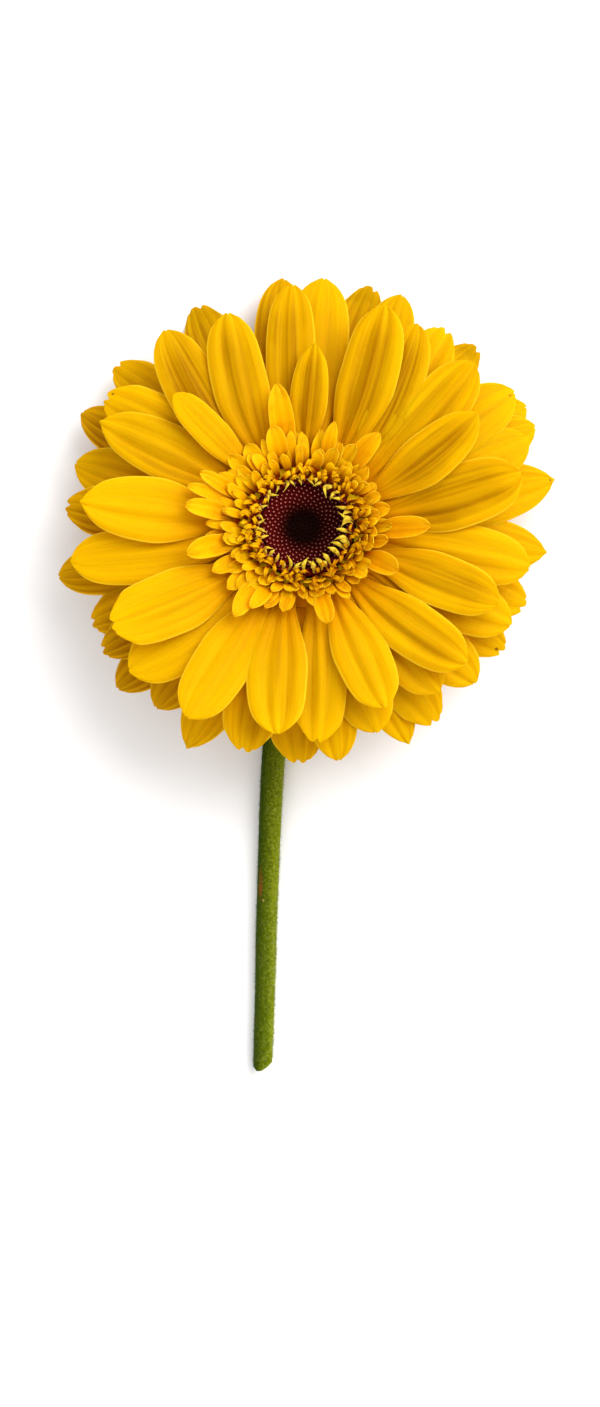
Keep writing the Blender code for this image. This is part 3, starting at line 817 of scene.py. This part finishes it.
florets = {
    "seed": 23,
    "lobes": (  # count, root radius, tilt outwards, curl outwards (degrees), length, width
        (44, 11.7, 30, 200, 6, 0.86),
        (44, 11.2, 16, 230, 6.2, 0.74),
        (40, 10.7, 0, 260, 5.8, 0.66),
    ),
    "lobeRows": 9,
    "lobeRoot": 1.5,
    "swing": 75,  # how far to one side a lobe may curl, degrees
    "sway": 1,  # of its tip to one side
    "turn": 0.9,  # about its own length, radians
    "rootStray": 0.3,
    "tiltStray": 14,
    "curlStray": (0.6, 1.3),  # shares
    "lengthStray": (0.85, 1.08),
    "widthStray": (0.75, 1.25),
    "thickness": 0.2,
    "anthers": (  # count, root radius, tip radius, root height, tip height
        (32, 11, 8.2, 3.2, 5.3),
        (18, 11.2, 9.4, 3.2, 6),
    ),
    "antherRadius": 0.55,
    "antherRings": 7,
    "antherReach": 0.5,  # random, as are the next four: how much further in or out its tip is
    "antherRise": (-0.5, 0.3),
    "antherSway": 2.2,
    "antherDrop": (0.2, 0.9),
    "antherSize": (0.8, 1.1),
    "bed": ((11.25, 2.3), (11.25, 0), (9.5, 0), (9.5, 2.3)),
    "buds": 64,
    "budRings": (9.75, 0.75, 2.55),  # radius, how much further out every second bud stands, and height
    "budRadius": 0.38,
    "budHeight": 0.62,
    "look": {
        **petalLook,
        "run": (
            (0, (0.18, 0.006, 0.004)), (0.36, (0.38, 0.024, 0.003)), (0.5, (0.94, 0.48, 0.002)),
            (1, (0.99, 0.69, 0.006)),
        ),
        "deep": (0.5, 0.21, 0), "toneShare": 0.7, "blotch": 0,
        "patchScale": 500, "patchShare": 0.3,
        "streaks": 3, "streakShare": 0.1,
        "veins": 4, "veinRun": 0.5, "veinShare": 0.2,
        "rim": (0.46, 0.09, 0.004), "rimShare": 0.6,
        "relief": (0.2, 0.00012), "glow": 0.2,
        "flank": (0.4, 0.02, 0.003), "flankShare": 0.5,
        "through": (0.94, 0.34, 0),
        "throughFoot": (0.34, 0.012, 0.002), "throughShare": 0.26,
    },
    "antherLook": {**grainLook, "scale": 1500, "light": (0.76, 0.54, 0.045), "dark": (0.5, 0.33, 0.015)},
    "bedLook": {**grainLook, "scale": 900, "light": (0.2, 0.008, 0.005), "dark": (0.08, 0.003, 0.003)},
}


def curledPath(rows, length, tilt, curl):
    # places out and up along a ribbon that rises, then curls over, and its direction there
    places, out, up = [], 0, 0
    for row in range(rows + 1):
        t = row / rows
        angle = radians(tilt + curl * smooth((t - 0.42) / 0.55))
        places.append((out, up, angle))
        stride = length / rows * (1.25 if t < 0.45 else 0.75)
        out += sin(angle) * stride
        up += cos(angle) * stride
    return places


def shapeLobe(model, bearing, root, tilt, curl, length, width):
    rows = florets["lobeRows"]
    foot = outwards(bearing) * root
    out = outwards(bearing + stray(1) * florets["swing"])
    side = sideways(out)
    sway, turn = draw(florets, "sway", "turn")
    path = curledPath(rows, length, tilt, curl)

    def place(u, t):
        ahead, up, angle = path[round(t * rows)]
        wide = u * width / 2 * (0.7 + 0.4 * smooth(t * 2)) * (1 - 0.75 * smooth((t - 0.72) / 0.28))
        # the ribbon is a gutter, open to its inner side
        gutter = 0.3 * width * u * u
        radius = ahead - cos(angle) * gutter + sin(turn * t) * wide
        height = florets["lobeRoot"] + up + sin(angle) * gutter
        return inBloom(foot + out * radius + side * (cos(turn * t) * wide + sway * t * t), height)

    return bend(model, place)


def modelAnther():
    # a slim rod, swollen in its middle and pointed at its end
    bpy.ops.mesh.primitive_cylinder_add(vertices=8, radius=florets["antherRadius"], depth=2)
    rod = bpy.context.object
    sliceInRings(florets["antherRings"])
    for vert in rod.data.vertices:
        t = (vert.co.z + 1) / 2
        swell = 0.45 + 0.55 * smooth((t - 0.15) / 0.35) - 0.8 * smooth((t - 0.62) / 0.38)
        vert.co.x *= swell
        vert.co.y *= swell
    return rod


def shapeAnther(model, bearing, root, reach, low, high):
    out = outwards(bearing)
    side = sideways(out)
    sway, drop, size = draw(florets, "antherSway", "antherDrop", "antherSize")
    size *= 0.85 + 0.15 * towards(bearing, -20)
    points = []
    for vert in model.data.vertices:
        t = (vert.co.z + 1) / 2
        radius = root + (reach - root) * t
        height = low + (high - low) * sin(t * pi * 0.65) - drop * t ** 3 + 0.75 * vert.co.x * size
        aside = vert.co.y * size + sway * (2 * t * t - 1.4 * t)
        points.append(inBloom(out * radius + side * aside, height))
    return points


def makeFlorets(budMaterial):
    seed(florets["seed"])
    blade = modelBlade(columns=2, rows=florets["lobeRows"])
    shapes, tones = [], []
    for bearing, root, tilt, curl, length, width in rowsRound(florets["lobes"], 0.37, 0.35):
        tones.append(paintedLightByBearing(bearing + 25))
        moved, leant, curled, longer, wider = draw(
            florets, "rootStray", "tiltStray", "curlStray", "lengthStray", "widthStray",
        )
        foot = root - 0.4 * towards(bearing, 150) + moved
        width *= wider
        width *= 1 + 0.3 * max(0, towards(bearing, 165))
        shapes.append(shapeLobe(blade, bearing, foot, tilt + leant, curl * curled, length * longer, width))
    lobes = gatherCopies("openFlorets", blade, shapes, tones)
    giveThickness(lobes, florets["thickness"])
    finishPiece(lobes, "open_florets", "open_floret", petalMaterial("floretYellow", florets["look"]))
    bed = spinInBloom("floretBed", florets["bed"], steps=40)
    finishPiece(bed, None, "open_floret", plainGrain("floretBed", florets["bedLook"]))
    rod = modelAnther()
    shapes = []
    for bearing, root, reach, low, high in rowsRound(florets["anthers"], 0, 0.4):
        # they stand further in on the bloom's right
        inwards = 0.35 * towards(bearing, -20)
        further, higher = draw(florets, "antherReach", "antherRise")
        shapes.append(shapeAnther(rod, bearing, root, reach - inwards + further, low, high + higher))
    anthers = gatherCopies("anthers", rod, shapes, [uniform(0, 1) for _ in shapes])
    turnOutwards(anthers)
    finishPiece(anthers, None, "open_floret", plainGrain("antherYellow", florets["antherLook"]))
    # closed buds still stand between them
    bud = modelBud()
    shapes = []
    near, further, height = florets["budRings"]
    for index in range(florets["buds"]):
        out = outwards((index + stray(0.3)) * 360 / florets["buds"])
        middle = out * (near + further * (index % 2) + stray(0.1)) + Vector((0, 0, height))
        size = uniform(0.8, 1.15)
        shapes.append(shapeBud(bud, middle, florets["budRadius"] * size, florets["budHeight"] * size))
    buds = gatherBuds("ringBuds", bud, shapes, [1] * len(shapes))
    finishPiece(buds, None, "open_floret", budMaterial)


# dark eye: closed buds in a spiral on a shallow dish

eye = {
    "seed": 3,
    "radius": 9.15,
    "dish": ((0, 0.9), (2, 1), (4, 1.25), (6, 1.65), (8, 2.2), (9.15, 2.5), (9.15, 0), (0, 0)),
    "buds": 300,  # at most
    "budsWithin": 9,
    "spacing": 0.525,  # mm, between turns of the spiral
    "turn": 137.508,  # degrees from each bud to the next
    "budFoot": 0.9,  # height in the middle
    "budRise": 1.7,  # from there to the edge
    "budLift": 0.05,
    "budRadius": 0.4,
    "budHeight": 0.62,
    "budNarrowing": 0.35,  # of its upper half
    "budLook": {**eyeLook, "outer": (0.11, 0.003, 0.002), "tips": (0.52, 0.17, 0.14)},
    "dishLook": {**eyeLook, "outer": (0.095, 0.003, 0.002), "tips": (0.2, 0.06, 0.06)},
}


def makeEye(budMaterial):
    seed(eye["seed"])
    dish = spinInBloom("darkEye", eye["dish"], steps=64, toneAt=lambda point: point.xy.length / eye["radius"])
    finishPiece(dish, "dark_eye", "dark_eye", eyeMaterial("eyeDish", eye["dishLook"]))
    bud = modelBud()
    shapes, shares = [], []
    for number in range(2, eye["buds"]):
        radius = eye["spacing"] * sqrt(number + 0.5)
        if radius > eye["budsWithin"]:
            break
        share = radius / eye["radius"]
        size = (0.62 + 0.38 * smooth(radius / 5)) * uniform(0.92, 1.06)
        height = eye["budFoot"] + eye["budRise"] * share ** 2 + eye["budLift"]
        middle = outwards(number * eye["turn"]) * radius + Vector((0, 0, height))
        wide, tall = eye["budRadius"] * size, eye["budHeight"] * size
        shapes.append(shapeBud(bud, middle, wide, tall, eye["budNarrowing"]))
        shares.append(share)
    buds = gatherBuds("eyeBuds", bud, shapes, shares)
    finishPiece(buds, None, "dark_eye", budMaterial)


# involucre: the green cup under the bloom with its overlapping bracts

cup = {
    "seed": 17,
    "profile": ((3.4, -11.5), (5.4, -11), (9, -9.9), (12.6, -8), (14.7, -5.7), (15.6, -3.65)),
    "top": -0.35,
    "platform": 12.2,
    "rows": (  # count, start and end along the profile, width, height over the cup
        (12, 0, 0.52, 3.6, 1.05),
        (15, 0.12, 0.7, 4, 0.8),
        (17, 0.3, 0.86, 4.2, 0.58),
        (19, 0.45, 0.98, 4.2, 0.36),
    ),
    "thickness": 0.5,
    "look": {
        **greenLook,
        "stretch": (260, 260, 90),
        "streaks": ((0.3, (0.07, 0.13, 0.008)), (0.7, (0.14, 0.21, 0.015))),
        "patch": (0.18, 0.24, 0.025),
        "tip": (0.045, 0.05, 0.01), "toneShare": 1,
        "keel": (0.24, 0.31, 0.05), "margin": (0.035, 0.06, 0.008),
        "down": 0.12,
    },
}


def alongCup(share):
    points = [Vector((radius, 0, height)) for radius, height in cup["profile"]]
    lengths = [(b - a).length for a, b in zip(points, points[1:])]
    left = clamp(share) * sum(lengths)
    for a, b, length in zip(points, points[1:], lengths):
        if left <= length + 1e-9:
            return a.lerp(b, left / length)
        left -= length
    return points[-1].copy()


def shapeBract(model, bearing, start, end, width, top):
    out = outwards(bearing)
    lean = stray(0.05)

    def place(u, t):
        share = start + (end - start) * t
        here = alongCup(share)
        ahead = (alongCup(share + 0.02) - alongCup(share - 0.02)).normalized()
        # a keel down the middle and edges laid close to the cup
        lift = top * (0.15 + 0.85 * smooth(t * 2)) * (1 - 0.55 * u * u) + 0.12 * u + 0.3 * t ** 3
        lift -= cup["thickness"] / 2
        radius = here.x + ahead.z * lift
        height = here.z - ahead.x * lift
        wide = (0.75 + 0.25 * sin(pi * min(1, t * 1.6))) * max(0, 1 - max(0, (t - 0.3) / 0.7) ** 1.7)
        turn = (u * max(wide, 0.04) * width / 2) / radius + lean * t
        return inBloom(out * (radius * cos(turn)) + sideways(out) * (radius * sin(turn)), height)

    return bend(model, place)


def makeCup():
    seed(cup["seed"])
    blade = modelBlade(columns=6, rows=12)
    shapes = []
    for number, (count, start, end, width, top) in enumerate(cup["rows"]):
        for index in range(count):
            bearing = (index + 0.17 + 0.4 * number) * 360 / count + stray(3)
            shapes.append(shapeBract(blade, bearing, start, end + stray(0.03), width, top))
    tips = bend(blade, lambda u, t: 0.85 * smooth((t - 0.55) / 0.45))
    bracts = gatherCopies("greenCup", blade, shapes, [0] * len(shapes))
    fades = [uniform(0, 0.22) for _ in shapes]
    tones = [clamp(tip + fade) for fade in fades for tip in tips]
    bracts.data.attributes["tone"].data.foreach_set("value", tones)
    giveThickness(bracts, cup["thickness"])
    profile = [(0, cup["top"]), (cup["platform"], cup["top"]), (cup["platform"], cup["profile"][-1][1])]
    profile += [*reversed(cup["profile"]), (0, cup["profile"][0][1])]
    core = spinInBloom("cupCore", profile, steps=64, toneAt=lambda point: 0.3)
    # its UV map holds one place, clear of the bracts' keels and margins
    core.data.uv_layers[0].data.foreach_set("uv", [0.3, 0.5] * len(core.data.loops))
    bracts = joinPieces([bracts, core], "greenCup")
    finishPiece(bracts, "involucre", "involucre", greenMaterial("bractGreen", cup["look"]))


# stem: bent neck, level run, slanted cut, and its down of short pale hairs

stem = {
    "seed": 29,
    "neckRadius": 3,
    "collar": ((-11, 3.3), (-11.6, 3.28), (-11.9, 3.12), (-12.3, 3.04)),  # height in the bloom, and radius
    "bendTop": -12.8,
    "bendRadius": 11,
    "bendSteps": 14,
    "pressed": 0.12,
    "run": (  # x, y, radius
        (-2.6, -30, 2.85), (-6.3, -48, 2.66), (-7.9, -82, 2.36), (-8.4, -102, 2.25), (-9.1, -124, 2.1),
    ),
    "runSteps": 10,
    "sides": 32,
    "ribs": 9,
    "ribDepth": 0.022,
    "ribTurn": 0.05,  # radians from ring to ring
    "unevenness": 0.006,
    "knots": 200,  # drawn for it, at least one for each ring
    "cuts": (  # a point, and which way is cut off: the worn corner, the blunt tip and the slanted cut
        ((-10.75, -119.9, 2.1), (-0.78, -0.62, 0)),
        ((-9.9, -120.45, 2.1), (0.05, -1, 0)),
        ((-8.9, -119.5, 2.1), (0.5, -0.82, -0.28)),
    ),
    "cutReach": 6,  # the cut's own face lies this near to its point
    "cutFacing": 0.98,  # and looks along the cut, 1 being exactly
    "cutRings": ((0.9, 0), (0.8, 0.04), (0.8, 0.16), (0.6, 0.12)),  # share of the last, and how far in
    "hairs": 14000,
    "hairLength": (0.2, 0.55),
    "hairRadius": 0.042,
    "hairLean": 0.5,
    "hairRoot": 0.985,  # share of the stem's radius
    "hairGap": 0.5,  # kept free next to a cut
    "hairFloor": 0.7,
    "look": {
        **greenLook,
        "stretch": (420, 26, 420),
        "streaks": ((0.3, (0.115, 0.16, 0.001)), (0.7, (0.2, 0.235, 0.004))),
        "patch": (0.21, 0.23, 0.004),
        # tip: the painted shade of the stem's left flank
        "tip": (0.014, 0.034, 0.0005), "toneShare": 0.95,
        "down": 0.46,
        "specks": (  # a browned streak, and a pale scar at its foot
            (-10.5, -45.8, 4.3, 1, 5.2, (0.16, 0.06, 0.008)),
            (-10.6, -47.4, 4.2, 0.8, 3, (0.22, 0.06, 0.01)),
            (-9.87, -49.6, 4.8, 0.7, 1, (0.8, 0.52, 0.14)),
        ),
    },
    "pithLook": {
        **grainLook,
        "scale": 700, "light": (0.5, 0.54, 0.17), "dark": (0.31, 0.38, 0.09), "gloss": 0.2,
    },
    "hairLook": {
        **grainLook,
        "scale": 900, "light": (0.62, 0.61, 0.22), "dark": (0.045, 0.105, 0.002),
        "toneShare": 0.95, "gloss": 0.02,
    },
}


def stemRoute():
    # points and radii of the middle line, mm, in the table's frame
    points = [(bloomPlace @ Vector((0, 0, height)), radius) for height, radius in stem["collar"]]
    lean = bloom["lean"]
    bendStart = bloomPlace @ Vector((0, 0, stem["bendTop"]))
    centre = bendStart + Vector((0, -cos(lean), sin(lean))) * stem["bendRadius"]
    full = pi / 2 - lean
    for step in range(stem["bendSteps"] + 1):
        spoke = Matrix.Rotation(-full * step / stem["bendSteps"], 3, "X") @ (bendStart - centre)
        points.append((centre + spoke, stem["neckRadius"]))
    last = points[-1][0]
    run = [(Vector((last.x, last.y, 0)), stem["neckRadius"])]
    run += [(Vector((x, y, 0)) + bloomShift, radius) for x, y, radius in stem["run"]]
    for index in range(len(run) - 1):
        before = run[max(index - 1, 0)][0]
        a, ra = run[index]
        b, rb = run[index + 1]
        after = run[min(index + 2, len(run) - 1)][0]
        into = Vector((0, -1, 0)) * (b - a).length if index == 0 else (b - before) / 2
        out = (after - a) / 2
        for step in range(1, stem["runSteps"] + 1):
            s = step / stem["runSteps"]
            flat = a * (2 * s ** 3 - 3 * s ** 2 + 1) + into * (s ** 3 - 2 * s ** 2 + s)
            flat += b * (-2 * s ** 3 + 3 * s ** 2) + out * (s ** 3 - s ** 2)
            radius = ra + (rb - ra) * s
            points.append((Vector((flat.x, flat.y, radius - stem["pressed"])), radius))
    return points


def ringFrame(route, index):
    before = route[max(index - 1, 0)][0]
    after = route[min(index + 1, len(route) - 1)][0]
    ahead = (after - before).normalized()
    side = Vector((1, 0, 0))
    side = (side - ahead * side.dot(ahead)).normalized()
    return side, ahead.cross(side)


def modelStem(route, frames):
    # a long cylinder, cut into rings that are moved onto the route
    bpy.ops.mesh.primitive_cylinder_add(vertices=stem["sides"], radius=1, depth=2)
    piece = bpy.context.object
    piece.name = "cutStem"
    sliceInRings(len(route) - 1)
    knots = [stray(1) for _ in range(stem["knots"])]
    for vert in piece.data.vertices:
        index = round((1 - vert.co.z) / 2 * (len(route) - 1))
        middle, radius = route[index]
        side, up = frames[index]
        angle = atan2(vert.co.y, vert.co.x)
        wave = cos(stem["ribs"] * angle + stem["ribTurn"] * index)
        wide = radius * (1 + stem["ribDepth"] * (wave - 1) + stem["unevenness"] * knots[index])
        vert.co = middle + (side * cos(angle) + up * sin(angle)) * wide
    return piece


def cutStemEnd(piece, cuts, endRadius):
    cutPoint, cutNormal = cuts[-1]
    makeActive(piece)
    bpy.ops.object.mode_set(mode="EDIT")
    bpy.ops.mesh.select_mode(type="FACE")
    for point, normal in cuts:
        editMode()
        bpy.ops.mesh.bisect(plane_co=point, plane_no=normal, clear_outer=True, use_fill=True)
    editMode()
    bpy.ops.mesh.normals_make_consistent(inside=False)
    bpy.ops.mesh.select_all(action="DESELECT")
    objectMode()
    # the cut face: a green rind, a pale ring and a soft, sunken pith
    for face in piece.data.polygons:
        near = (face.center - cutPoint).length < stem["cutReach"]
        face.select = near and face.normal.dot(cutNormal) > stem["cutFacing"]
        if face.select:
            cutMiddle = face.center.copy()
    bpy.ops.object.mode_set(mode="EDIT")
    for size, depth in stem["cutRings"]:
        bpy.ops.mesh.extrude_region_move(TRANSFORM_OT_translate={"value": (0, 0, 0)})
        bpy.ops.transform.resize(value=(size, size, size), center_override=cutMiddle)
        bpy.ops.transform.translate(value=cutNormal * -depth)
        cutMiddle = cutMiddle - cutNormal * depth
    bpy.ops.mesh.poke()
    editMode()
    bpy.ops.mesh.normals_make_consistent(inside=False)
    objectMode()
    for face in piece.data.polygons:
        away = face.center - cutPoint
        inside = hypot(away.x + 0.09 * away.y, away.z) < 0.9 * endRadius and away.length < 5
        face.material_index = int(inside and abs(face.normal.dot(cutNormal)) > 0.6)


def makeHairs(route, frames, cuts):
    # one hair, and its copies all along the stem
    bpy.ops.mesh.primitive_cone_add(vertices=3, radius1=1, radius2=0, depth=1, location=(0, 0, 0.5))
    bpy.ops.object.transform_apply(location=True)
    hair = bpy.context.object
    wide = stem["hairRadius"]
    shapes, tones = [], []
    while len(shapes) < stem["hairs"]:
        index = randrange(2, len(route) - 2)
        middle = route[index][0].lerp(route[index + 1][0], uniform(0, 1))
        side, up = frames[index]
        angle = uniform(0, 2 * pi)
        normal = side * cos(angle) + up * sin(angle)
        foot = middle + normal * (route[index][1] * stem["hairRoot"])
        length = uniform(*stem["hairLength"])
        beyond = max((foot - point).dot(away) for point, away in cuts)
        if beyond > -stem["hairGap"] or foot.z < stem["hairFloor"]:
            continue
        lean = Vector([stray(stem["hairLean"]) for _ in range(3)])
        turn = (normal + lean).normalized().to_track_quat("Z", "Y").to_matrix()
        shapes.append([
            foot + turn @ Vector((vert.co.x * wide, vert.co.y * wide, vert.co.z * length))
            for vert in hair.data.vertices
        ])
        # painted shade: hairs on the stem's left flank are darker
        tones.append(clamp(0.45 - 0.5 * normal.x + uniform(-0.2, 0.3)))
    hairs = gatherCopies("stemHairs", hair, shapes, tones)
    finishPiece(hairs, None, "stem", plainGrain("hairPale", stem["hairLook"]))


def makeStem():
    seed(stem["seed"])
    route = stemRoute()
    frames = [ringFrame(route, index) for index in range(len(route))]
    cuts = [(Vector(point) + bloomShift, Vector(normal).normalized()) for point, normal in stem["cuts"]]
    piece = modelStem(route, frames)
    cutStemEnd(piece, cuts, route[-1][1])
    # painted shade: its left flank is painted the darker green
    shadedFlanks = []
    for vert in piece.data.vertices:
        middle, radius = min(route, key=lambda knot: (knot[0] - vert.co).length)
        shadedFlanks.append(clamp(0.5 - 0.55 * (vert.co.x - middle.x) / radius))
    addAttribute(piece, "tone", shadedFlanks)
    skin = greenMaterial("stemGreen", stem["look"])
    finishPiece(piece, "stem", "stem", skin, plainGrain("cutPith", stem["pithLook"]))
    makeHairs(route, frames, cuts)


# the flower

makePetals()
print("stage 1 of 6: ray petals")

makeInnerPetals()
print("stage 2 of 6: inner petals")

budMaterial = eyeMaterial("eyeBuds", eye["budLook"])
makeFlorets(budMaterial)
print("stage 3 of 6: open florets")

makeEye(budMaterial)
print("stage 4 of 6: dark eye")

makeCup()
print("stage 5 of 6: involucre")

makeStem()
print("stage 6 of 6: stem")


# the table, the light and the camera

studio = {
    "tableSize": 6,  # m, as all lengths here
    "tableHeight": -0.00005,
    "tableColors": ((0.93, 0.93, 0.93), (0.95, 0.95, 0.95)),
    "tableGrain": 8,
    "tableRoughness": 0.9,
    "tableGloss": 0.1,
    "skyStrength": 0.92,
    "keyWatts": 18.5,
    "keyPlace": (0.64, 0.66, 0.92),
    "keySize": 1.1,
    "fillWatts": 1.2,
    "fillPlace": (-0.5, -0.3, 1),
    "fillSize": 0.9,
    "aim": (0, 0.02, 0.02),
    "cameraMiddle": (-1.475, -5.83),  # mm, the middle of the photograph's frame
    "cameraDistance": 2.59,
    "petalPlane": 0.022,
    "lens": 300,  # mm
    "sensor": 36,
    "clipEnd": 20,
}

bpy.ops.mesh.primitive_plane_add(size=studio["tableSize"], location=(0, 0, studio["tableHeight"]))
table = bpy.context.object
table.name = "table"
material, shader = newMaterial("paleTable")
grain = noise(objectPlace(), studio["tableGrain"], 2)
feed(shader, {
    "Base Color": mixColor(grain, *studio["tableColors"]),
    "Roughness": studio["tableRoughness"],
    "Specular IOR Level": studio["tableGloss"],
})
table.data.materials.append(material)

world = bpy.data.worlds.new("softStudio")
world.use_nodes = True
sky = world.node_tree.nodes["Background"]
feed(sky, {"Color": (1, 1, 1), "Strength": studio["skyStrength"]})
bpy.context.scene.world = world
for name in ("key", "fill"):
    light = bpy.data.lights.new(name + "Light", "AREA")
    light.energy = studio[name + "Watts"]
    light.size = studio[name + "Size"]
    holder = placeInScene(name + "Light", light)
    holder.location = studio[name + "Place"]
    aim = Vector(studio["aim"]) - holder.location
    holder.rotation_euler = aim.to_track_quat("-Z", "Y").to_euler()

camera = bpy.data.cameras.new("camera")
camera.lens = studio["lens"]
camera.sensor_width = studio["sensor"]
camera.clip_end = studio["clipEnd"]
eyePoint = placeInScene("camera", camera)
x, y = studio["cameraMiddle"]
eyePoint.location = (x * mm, y * mm, studio["cameraDistance"] + studio["petalPlane"])
bpy.context.scene.camera = eyePoint
bpy.context.scene.view_settings.view_transform = "Standard"
